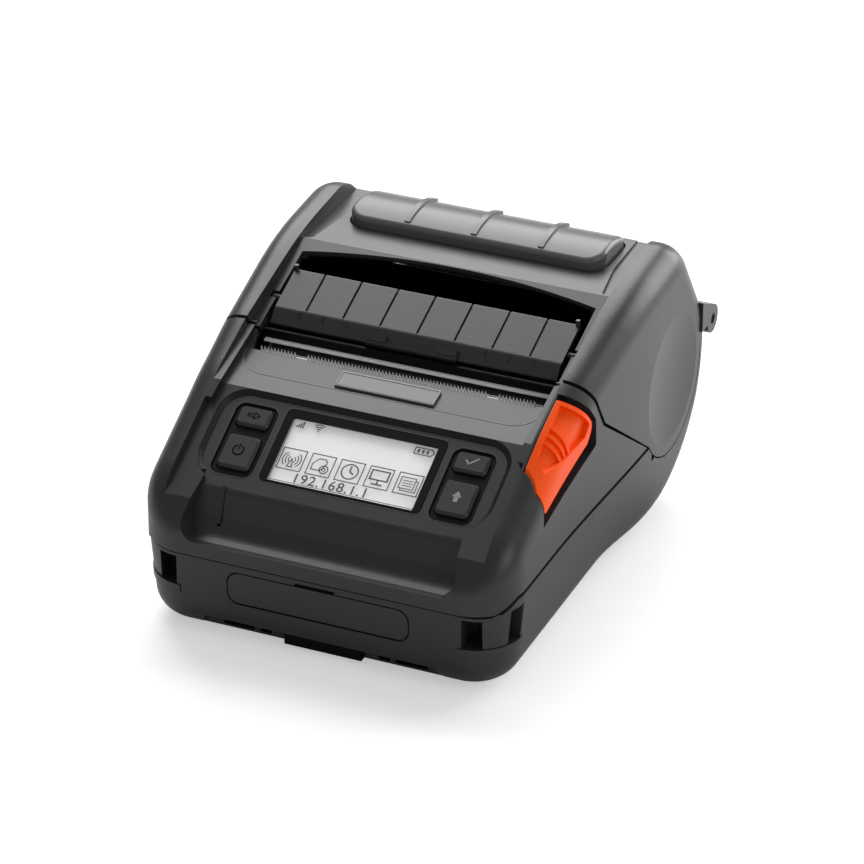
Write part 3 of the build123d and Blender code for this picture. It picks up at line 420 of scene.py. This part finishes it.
def mesh_piece(name, shape, material, body):
    """Object made from a bmesh, riding on a body."""
    bmesh.ops.recalc_face_normals(shape, faces=shape.faces)
    mesh = bpy.data.meshes.new(name)
    shape.to_mesh(mesh)
    shape.free()
    piece = bpy.data.objects.new(name, mesh)
    bpy.context.scene.collection.objects.link(piece)
    mesh.materials.append(material)
    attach(piece, body)
    return piece


def add_slab(shape, place, low, high, bottom, top):
    """Flat block between two corners (u, v) on a plane, in metres."""
    size = Vector((high[0] - low[0], high[1] - low[1], top - bottom))
    centre = Vector(((high[0] + low[0]) / 2, (high[1] + low[1]) / 2, (top + bottom) / 2))
    matrix = place @ Matrix.Translation(centre) @ Matrix.Diagonal((*size, 1))
    bmesh.ops.create_cube(shape, size=1, matrix=matrix)


def add_stroke(shape, place, points, width, bottom, top):
    """Line of flat bars through points (u, v) on a plane, in metres."""
    for start, end in zip(points, points[1:]):
        run = Vector(end) - Vector(start)
        middle = (Vector(start) + Vector(end)) / 2
        turn = math.atan2(run.y, run.x)
        size = (run.length + 0.8 * width, width, top - bottom)
        matrix = place @ Matrix.Translation((middle.x, middle.y, (top + bottom) / 2))
        matrix = matrix @ Matrix.Rotation(turn, 4, "Z") @ Matrix.Diagonal((*size, 1))
        bmesh.ops.create_cube(shape, size=1, matrix=matrix)


def arc(centre, radius, first, last, steps=10):
    """Points along an arc between two angles in degrees."""
    angles = [math.radians(first + (last - first) * k / steps) for k in range(steps + 1)]
    return [(centre[0] + radius * math.cos(a), centre[1] + radius * math.sin(a)) for a in angles]


def frame_points(low, high):
    """Corners of a rectangle, closed."""
    return [low, (high[0], low[1]), high, (low[0], high[1]), low]


def rounded_face(low, high, radii, steps=6):
    """New bmesh with one flat face; radii go round from the lower left corner."""
    shape = bmesh.new()
    centre = ((low[0] + high[0]) / 2, (low[1] + high[1]) / 2, 0)
    matrix = Matrix.Translation(centre) @ Matrix.Diagonal((high[0] - low[0], high[1] - low[1], 1, 1))
    bmesh.ops.create_grid(shape, x_segments=1, y_segments=1, size=0.5, matrix=matrix)
    corners = sorted(shape.verts, key=lambda v: math.atan2(v.co.y - centre[1], v.co.x - centre[0]))
    for corner, radius in zip(corners, radii):
        bmesh.ops.bevel(
            shape,
            geom=[corner],
            offset=radius,
            offset_type="OFFSET",
            segments=steps,
            profile=0.5,
            affect="VERTICES",
            material=-1,
        )
    return shape


def banked_ring(shape, width, drop, thickness):
    """Turn the one face of a bmesh into a sloping ring with a wall thickness."""
    ring = bmesh.ops.inset_region(
        shape,
        faces=shape.faces[:],
        thickness=width,
        depth=-drop,
        use_even_offset=True,
        use_boundary=True,
    )["faces"]
    kept = set(ring)
    bmesh.ops.delete(shape, geom=[f for f in shape.faces if f not in kept], context="FACES")
    bmesh.ops.solidify(shape, geom=shape.faces[:], thickness=thickness)
    return shape


def frame_body(node):
    """Name of the body that carries a node."""
    for body, nodes in frame["record"]["behaviour"]["bodies"].items():
        if node in nodes:
            return body
    raise KeyError(node)


def on_window(across, down):
    """Place on the display window from shares of its width and height, in metres."""
    return (
        (WINDOW_LEFT + WINDOW_WIDTH * across) * MM,
        (WINDOW_TOP - WINDOW_HEIGHT * down) * MM,
    )


class PRINTER_OT_finishes(bpy.types.Operator):
    """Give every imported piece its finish"""

    bl_idname = "printer.finishes"
    bl_label = "Finishes"

    def execute(self, context):
        by_slot = finishes(context.scene.printer_finish)
        slots = {entry["node"]: entry["material_slot"] for entry in frame["record"]["subparts"]}
        slots.update(OWN_FINISH)
        for node, piece in frame["nodes"].items():
            for slot in piece.material_slots:
                slot.material = by_slot[slots[node]]
        FINISHES.update(by_slot)
        return {"FINISHED"}


class PRINTER_OT_panel_bank(bpy.types.Operator):
    """Painted shade: a near-black sloping bank round the sunk control panel"""

    bl_idname = "printer.panel_bank"
    bl_label = "Panel bank"

    def execute(self, context):
        radii = [radius * MM for radius in BANK_RADII]
        shape = rounded_face(BANK_LOW * MM, BANK_HIGH * MM, radii, 8)
        banked_ring(shape, BANK_WIDTH * MM, BANK_DROP * MM, 0.1 * MM)
        front = [f for f in shape.faces if f.calc_center_median().y < BANK_OPEN_BELOW * MM]
        bmesh.ops.delete(shape, geom=front, context="FACES")
        place = PANEL @ Matrix.Translation((0, 0, -0.06 * MM))
        bmesh.ops.transform(shape, matrix=place, verts=shape.verts)
        # Dark lining of the recess wall: painted shade
        mesh_piece("panel_bank", shape, FINISHES["bank_painted_shade"], "lower_case")
        self.rims()
        self.painted_deck_highlight()
        return {"FINISHED"}

    def rims(self):
        """Black joints round the keypads and the display frame, with a painted highlight along their
        outer edge.
        """
        joints, edges = bmesh.new(), bmesh.new()
        for low, high, radius in JOINTS:
            self.ring(joints, low, high, radius, JOINT_WIDTH)
            outer_low = [x - JOINT_HIGHLIGHT for x in low]
            outer_high = [x + JOINT_HIGHLIGHT for x in high]
            self.ring(edges, outer_low, outer_high, radius + JOINT_HIGHLIGHT, JOINT_HIGHLIGHT)
        mesh_piece("panel_joints", joints, FINISHES["gap_black"], "lower_case")
        # Pale rings just outside the joints: a painted highlight
        mesh_piece("panel_edge_highlights", edges, FINISHES["edge_light"], "lower_case")

    def ring(self, shape, low, high, radius, width):
        """Flat ring on the floor of the panel, in mm."""
        ring = rounded_face(Vector(low) * MM, Vector(high) * MM, [radius * MM] * 4)
        banked_ring(ring, width * MM, 0.0, 0.12 * MM)
        place = PANEL @ Matrix.Translation((0, 0, -JOINT_DEPTH * MM))
        bmesh.ops.transform(ring, matrix=place, verts=ring.verts)
        mesh = bpy.data.meshes.new("ring")
        ring.to_mesh(mesh)
        ring.free()
        shape.from_mesh(mesh)
        bpy.data.meshes.remove(mesh)

    def painted_deck_highlight(self):
        """Painted highlight along the front edge of the shallow pocket round the mouth."""
        shape = bmesh.new()
        corner = arc(DECK_CORNER, DECK_CORNER_R, -90, 0, 8)
        plan = [(-x, y) for x, y in reversed(corner)] + corner
        points = [(x * MM, (y - DECK_EDGE_Y) / math.cos(DECK_TILT) * MM) for x, y in plan]
        # Pale stroke on the pocket's edge: a painted highlight
        add_stroke(shape, DECK, points, 0.26 * MM, -0.05 * MM, 0.09 * MM)
        mesh_piece("deck_edge_highlight", shape, FINISHES["edge_light"], "lower_case")


class PRINTER_OT_display(bpy.types.Operator):
    """Picture on the display: icons in boxes, a battery and plain numbers"""

    bl_idname = "printer.display"
    bl_label = "Display picture"

    def execute(self, context):
        settings = context.scene.printer_display
        self.top = -settings.depth
        self.bottom = self.top - 0.04 * MM
        self.line = settings.line
        shape = bmesh.new()
        self.stroke(shape, frame_points(on_window(0.022, 0.962), on_window(0.978, 0.04)), 0.6)
        self.status(shape)
        icons = (self.antenna, self.paper_roll, self.clock, self.monitor, self.sheets)
        for index, draw in enumerate(icons):
            left = 0.037 + 0.1933 * index
            low, high = on_window(left, 0.783), on_window(left + 0.155, 0.481)
            self.stroke(shape, frame_points(low, high))
            draw(shape, Vector(((low[0] + high[0]) / 2, (low[1] + high[1]) / 2)))
        mesh_piece("display_picture", shape, FINISHES["display_ink"], "lower_case")
        self.numbers(context, settings)
        return {"FINISHED"}

    def stroke(self, shape, points, share=1.0):
        """Line in the picture, with a share of the common width."""
        add_stroke(shape, PANEL, points, self.line * share, self.bottom, self.top)

    def fill(self, shape, low, high):
        """Filled rectangle in the picture."""
        add_slab(shape, PANEL, low, high, self.bottom, self.top)

    def status(self, shape):
        """Signal bars, signal fan and battery in the upper row."""
        foot = Vector(on_window(0.045, 0.165))
        for bar in range(4):
            low = foot + Vector((bar * 0.62, 0)) * MM
            self.fill(shape, low, low + Vector((0.4, 0.55 + 0.5 * bar)) * MM)
        root = on_window(0.197, 0.165)
        for radius in (0.7, 1.4, 2.1):
            self.stroke(shape, arc(root, radius * MM, 50, 130, 6), 0.9)
        self.fill(shape, Vector(root) - Vector((0.2, 0.2)) * MM, Vector(root) + Vector((0.2, 0.2)) * MM)
        low, high = on_window(0.838, 0.182), on_window(0.948, 0.088)
        middle = (low[1] + high[1]) / 2
        nose = high[0] + 0.75 * MM
        body = [low, (high[0], low[1]), (nose, middle), high, (low[0], high[1]), low]
        self.stroke(shape, body)
        for cell in range(3):
            left = low[0] + (0.75 + 1.3 * cell) * MM
            self.fill(shape, (left, low[1] + 0.45 * MM), (left + 0.7 * MM, high[1] - 0.45 * MM))

    def antenna(self, shape, middle):
        """Mast with waves on both sides."""
        for side in (0, 180):
            for radius in (1.0, 1.8, 2.6):
                self.stroke(shape, arc(middle, radius * MM, side - 48, side + 48, 8), 0.9)
        mast = [(0.0, 0.3), (-0.75, -2.3), (0.75, -2.3), (0.0, 0.3)]
        self.stroke(shape, [middle + Vector(p) * MM for p in mast])

    def paper_roll(self, shape, middle):
        """Printer outline with a roll of paper."""
        body = [(-2.4, -1.6), (0.2, -1.6), (1.0, -0.4), (1.5, 1.0), (0.9, 2.0)]
        body += [(-1.0, 2.0), (-2.4, 0.2), (-2.4, -1.6)]
        self.stroke(shape, [middle + Vector(p) * MM for p in body])
        hub = middle + Vector((1.2, -1.1)) * MM
        self.stroke(shape, arc(hub, 1.2 * MM, 0, 360, 16))
        self.stroke(shape, arc(hub, 0.45 * MM, 0, 360, 8), 0.8)

    def clock(self, shape, middle):
        """Clock face with two hands."""
        self.stroke(shape, arc(middle, 2.3 * MM, 0, 360, 24), 1.2)
        self.stroke(shape, [middle, middle + Vector((0, 1.6)) * MM], 1.4)
        self.stroke(shape, [middle, middle + Vector((1.1, -0.6)) * MM], 1.4)

    def monitor(self, shape, middle):
        """Screen on a stand."""
        low = middle + Vector((-2.5, -0.7)) * MM
        high = middle + Vector((2.5, 2.2)) * MM
        self.stroke(shape, frame_points(tuple(low), tuple(high)), 1.4)
        self.stroke(shape, [middle + Vector((0, -0.8)) * MM, middle + Vector((0, -2.0)) * MM], 1.4)
        self.stroke(shape, [middle + Vector((-1.4, -2.1)) * MM, middle + Vector((1.4, -2.1)) * MM], 1.4)

    def sheets(self, shape, middle):
        """Two blank labels, one behind the other."""
        low, high = middle + Vector((-2.4, -1.5)) * MM, middle + Vector((1.7, 2.0)) * MM
        self.stroke(shape, frame_points(tuple(low), tuple(high)), 0.9)
        behind = [(-1.7, -1.6), (-1.7, -2.2), (2.5, -2.2), (2.5, 1.2), (1.8, 1.2)]
        self.stroke(shape, [middle + Vector(p) * MM for p in behind], 0.9)
        for row in (1.0, 0.2, -0.6):
            ends = [middle + Vector((x, row)) * MM for x in (-1.7, 1.0)]
            self.stroke(shape, ends, 0.8)

    def numbers(self, context, settings):
        """Row of plain numbers, made a mesh."""
        curve = bpy.data.curves.new("numbers", "FONT")
        curve.body = settings.numbers
        curve.size = 4.2 * MM
        curve.space_character = 1.12
        curve.offset = 0.03 * MM
        curve.extrude = 0.02 * MM
        source = bpy.data.objects.new("numbers source", curve)
        context.scene.collection.objects.link(source)
        context.view_layer.update()
        mesh = bpy.data.meshes.new_from_object(source.evaluated_get(context.evaluated_depsgraph_get()))
        bpy.data.objects.remove(source)
        shape = bmesh.new()
        shape.from_mesh(mesh)
        foot = on_window(0.165, 0.945)
        place = PANEL @ Matrix.Translation((*foot, self.top - 0.02 * MM))
        bmesh.ops.transform(shape, matrix=place, verts=shape.verts)
        mesh_piece("display_numbers", shape, FINISHES["display_ink"], "lower_case")


class PRINTER_OT_key_marks(bpy.types.Operator):
    """Raised marks on the four keys"""

    bl_idname = "printer.key_marks"
    bl_label = "Key marks"

    def execute(self, context):
        self.mark("upper_left_key", self.feed_arrow, "key_relief")
        self.mark("lower_left_key", self.power, "key_relief")
        self.mark("upper_right_key", self.check_mark, "key_mark")
        self.mark("lower_right_key", self.up_arrow, "key_mark")
        return {"FINISHED"}

    def mark(self, key, draw, finish):
        """Mark in the middle of a key, on its top."""
        low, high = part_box(key)
        middle = (Vector(low) + Vector(high)) / 2
        local = PANEL.inverted() @ middle
        place = PANEL @ Matrix.Translation((local.x, local.y, KEY_TOP))
        shape = bmesh.new()
        draw(shape, place)
        mesh_piece(key + "_mark", shape, FINISHES[finish], frame_body(key))

    def stroke(self, shape, place, points, width=0.32):
        """Line of a mark, in mm."""
        points = [(x * MM, y * MM) for x, y in points]
        add_stroke(shape, place, points, width * MM, -0.05 * MM, 0.07 * MM)

    def feed_arrow(self, shape, place):
        """Hollow arrow to the right."""
        outline = [(-1.7, 0.35), (0.2, 0.35), (0.2, 0.95), (1.7, 0.0), (0.2, -0.95), (0.2, -0.35)]
        outline += [(-1.7, -0.35), (-1.7, 0.35)]
        self.stroke(shape, place, outline)

    def power(self, shape, place):
        """Open ring with a bar."""
        ring = [(x / MM, y / MM) for x, y in arc((0, 0), 1.5 * MM, 120, 420, 24)]
        self.stroke(shape, place, ring, 0.4)
        self.stroke(shape, place, [(0, 0.4), (0, 1.9)], 0.4)

    def check_mark(self, shape, place):
        """Check mark."""
        self.stroke(shape, place, [(-1.5, 0.1), (-0.5, -0.9), (1.7, 1.1)], 0.45)

    def up_arrow(self, shape, place):
        """Short filled arrow that points up."""
        tip = place @ Matrix.Translation((0, 0.55 * MM, 0.07 * MM))
        head = bmesh.ops.create_circle(
            shape,
            cap_ends=True,
            segments=3,
            radius=1.55 * MM,
            matrix=tip @ Matrix.Diagonal((1.0, 0.8, 1, 1)),
        )
        faces = list({f for v in head["verts"] for f in v.link_faces})
        solid = bmesh.ops.extrude_face_region(shape, geom=faces)
        down = [v for v in solid["geom"] if isinstance(v, bmesh.types.BMVert)]
        bmesh.ops.translate(shape, vec=-0.12 * MM * PANEL_OUT, verts=down)
        low, high = (-0.6 * MM, -1.6 * MM), (0.6 * MM, 0.2 * MM)
        add_slab(shape, place, low, high, -0.05 * MM, 0.07 * MM)


class PRINTER_OT_tear_edges(bpy.types.Operator):
    """Painted highlight on the steel edge across the mouth, and the pale teeth in front of it with a
    painted glint
    """

    bl_idname = "printer.tear_edges"
    bl_label = "Tear edges"

    def execute(self, context):
        settings = context.scene.printer_edges
        bar = bmesh.new()
        add_slab(bar, Matrix(), BAR_LOW * MM, BAR_HIGH * MM, BAR_BOTTOM * MM, BAR_TOP * MM)
        bmesh.ops.bevel(
            bar,
            geom=bar.edges[:],
            offset=BAR_EDGE_R * MM,
            offset_type="OFFSET",
            segments=2,
            profile=0.5,
            affect="EDGES",
            material=-1,
        )
        # White bar over the steel edge: a painted highlight
        mesh_piece("tear_bar_highlight", bar, FINISHES["tooth_white"], "paper_cover")
        comb = bmesh.new()
        low = Vector((-COMB_HALF, COMB_FRONT)) * MM
        high = Vector((COMB_HALF, COMB_BACK)) * MM
        add_slab(comb, Matrix(), low, high, COMB_FOOT * MM, TOOTH_FOOT * MM)
        count = int(COMB_HALF * MM / settings.tooth_pitch)
        for step in range(-count, count + 1):
            place = step * settings.tooth_pitch
            if abs(abs(place) - BREAK_PLACE * MM) > BREAK_HALF * MM:
                self.tooth(comb, place, settings.tooth_length)
        # Teeth in the same white: pale steel with a painted glint
        mesh_piece("comb_teeth", comb, FINISHES["tooth_white"], "lower_case")
        return {"FINISHED"}

    def tooth(self, shape, across, length):
        """One pointed tooth on the strip."""
        place = Vector((across, (COMB_FRONT + COMB_BACK) / 2 * MM, TOOTH_FOOT * MM + length / 2))
        bmesh.ops.create_cone(
            shape,
            cap_ends=True,
            segments=4,
            radius1=0.42 * MM,
            radius2=0.08 * MM,
            depth=length,
            matrix=Matrix.Translation(place) @ Matrix.Diagonal((1.0, 0.36, 1, 1)),
        )


class PRINTER_OT_badge_rim(bpy.types.Operator):
    """Pale rim round the bare badge plate: a painted highlight where its bevelled edge catches the
    light
    """

    bl_idname = "printer.badge_rim"
    bl_label = "Badge rim"

    def execute(self, context):
        rim = context.scene.printer_edges.rim
        low, high = Vector((-BADGE_HALF, 0)) * MM, Vector((BADGE_HALF, BADGE_LENGTH)) * MM
        shape = rounded_face(low, high, [0.5 * MM] * 4, 3)
        banked_ring(shape, rim, -0.12 * MM, 0.1 * MM)
        place = BADGE @ Matrix.Translation((0, 0, 0.04 * MM))
        bmesh.ops.transform(shape, matrix=place, verts=shape.verts)
        # Key mark grey on the rim: a painted highlight
        mesh_piece("badge_rim", shape, FINISHES["key_mark"], "lower_case")
        return {"FINISHED"}


class PRINTER_OT_stage(bpy.types.Operator):
    """Set the floor, the lamps and the camera"""

    bl_idname = "printer.stage"
    bl_label = "Studio"

    def execute(self, context):
        settings = context.scene.printer_stage
        shape = bmesh.new()
        bmesh.ops.create_grid(shape, x_segments=1, y_segments=1, size=8)
        mesh = bpy.data.meshes.new("floor")
        shape.to_mesh(mesh)
        shape.free()
        floor = bpy.data.objects.new("floor", mesh)
        context.scene.collection.objects.link(floor)
        material = bpy.data.materials.new("white paper")
        material.use_nodes = True
        nodes, links = material.node_tree.nodes, material.node_tree.links
        shader = nodes["Principled BSDF"]
        shader.inputs["Base Color"].default_value = (0.8, 0.8, 0.8, 1)
        shader.inputs["Roughness"].default_value = 0.9
        light_path = nodes.new("ShaderNodeLightPath")
        links.new(light_path.outputs["Is Camera Ray"], shader.inputs["Emission Strength"])
        shader.inputs["Emission Color"].default_value = (0.45, 0.45, 0.45, 1)
        mesh.materials.append(material)
        self.world(context)
        self.lamp(context, "key lamp", (-0.38, 0.72, 0.86), 1.0, settings.key_power)
        self.lamp(context, "back lamp", (0.58, 1.05, 0.45), 0.8, settings.back_power)
        self.lamp(context, "fill lamp", (1.05, -0.35, 0.55), 0.7, settings.fill_power)
        self.camera(context, settings)
        context.scene.view_settings.view_transform = "Standard"
        return {"FINISHED"}

    def world(self, context):
        """White to the camera, soft grey as a light."""
        world = bpy.data.worlds.new("studio")
        context.scene.world = world
        world.use_nodes = True
        nodes, links = world.node_tree.nodes, world.node_tree.links
        background = nodes["Background"]
        light_path = nodes.new("ShaderNodeLightPath")
        level = nodes.new("ShaderNodeMapRange")
        level.inputs["To Min"].default_value = 0.3
        level.inputs["To Max"].default_value = 1.0
        links.new(light_path.outputs["Is Camera Ray"], level.inputs["Value"])
        links.new(level.outputs["Result"], background.inputs["Strength"])
        background.inputs["Color"].default_value = (1, 1, 1, 1)

    def lamp(self, context, name, place, size, power):
        """Square area lamp that points at the printer."""
        data = bpy.data.lights.new(name, "AREA")
        data.size = size
        data.energy = power
        lamp = bpy.data.objects.new(name, data)
        aim = Vector((0, 0, 0.04)) - Vector(place)
        turn = aim.to_track_quat("-Z", "Y").to_matrix().to_4x4()
        lamp.matrix_world = Matrix.Translation(place) @ turn
        context.scene.collection.objects.link(lamp)

    def camera(self, context, settings):
        """Camera at the photograph's viewing angle."""
        azimuth = 0.409307
        height = 0.506145
        aside, raised, distance = 4.263, 5.951, 1127.5
        target = Vector((0, -8.5, 30.0)) * MM
        right = Vector((math.cos(azimuth), math.sin(azimuth), 0))
        level = Vector((-math.sin(azimuth), math.cos(azimuth), 0))
        forward = level * math.cos(height) - Vector((0, 0, math.sin(height)))
        up = right.cross(forward)
        place = target + (aside * right + raised * up - distance * forward) * MM
        data = bpy.data.cameras.new("camera")
        data.lens = settings.focal
        data.clip_end = 20
        camera = bpy.data.objects.new("camera", data)
        turn = Matrix((right, up, -forward)).transposed().to_4x4()
        camera.matrix_world = Matrix.Translation(place) @ turn
        context.scene.collection.objects.link(camera)
        context.scene.camera = camera


class PRINTER_PT_panel(bpy.types.Panel):
    """Lists the printer's operators"""

    bl_label = "Label Printer"
    bl_idname = "PRINTER_PT_panel"
    bl_space_type = "VIEW_3D"
    bl_region_type = "UI"
    bl_category = "Printer"

    def draw(self, context):
        for operator in OPERATORS:
            self.layout.operator(operator.bl_idname)


# Nodes whose finish differs from the record's slot, and the finishes by slot once they are made
OWN_FINISH = {
    "left_keypad": "pad_rubber",
    "right_keypad": "pad_rubber",
    "badge_plate": "badge_plastic",
    "tear_bar": "dark_steel",
    "tear_comb": "dark_steel",
}
FINISHES = {}

OPERATORS = (
    PRINTER_OT_finishes,
    PRINTER_OT_panel_bank,
    PRINTER_OT_display,
    PRINTER_OT_key_marks,
    PRINTER_OT_tear_edges,
    PRINTER_OT_badge_rim,
    PRINTER_OT_stage,
)
SETTINGS = {
    "printer_finish": FinishSettings,
    "printer_display": DisplaySettings,
    "printer_edges": EdgeSettings,
    "printer_stage": StageSettings,
}


def register():
    for group in SETTINGS.values():
        bpy.utils.register_class(group)
    for operator in (*OPERATORS, PRINTER_PT_panel):
        bpy.utils.register_class(operator)
    for name, group in SETTINGS.items():
        setattr(bpy.types.Scene, name, bpy.props.PointerProperty(type=group))


def unregister():
    for name in SETTINGS:
        delattr(bpy.types.Scene, name)
    for operator in (PRINTER_PT_panel, *reversed(OPERATORS)):
        bpy.utils.unregister_class(operator)
    for group in SETTINGS.values():
        bpy.utils.unregister_class(group)


def main():
    register()
    bpy.ops.printer.finishes()
    bpy.ops.printer.panel_bank()
    bpy.ops.printer.display()
    bpy.ops.printer.key_marks()
    bpy.ops.printer.tear_edges()
    bpy.ops.printer.badge_rim()
    bpy.ops.printer.stage()


if __name__ == "__main__":
    main()
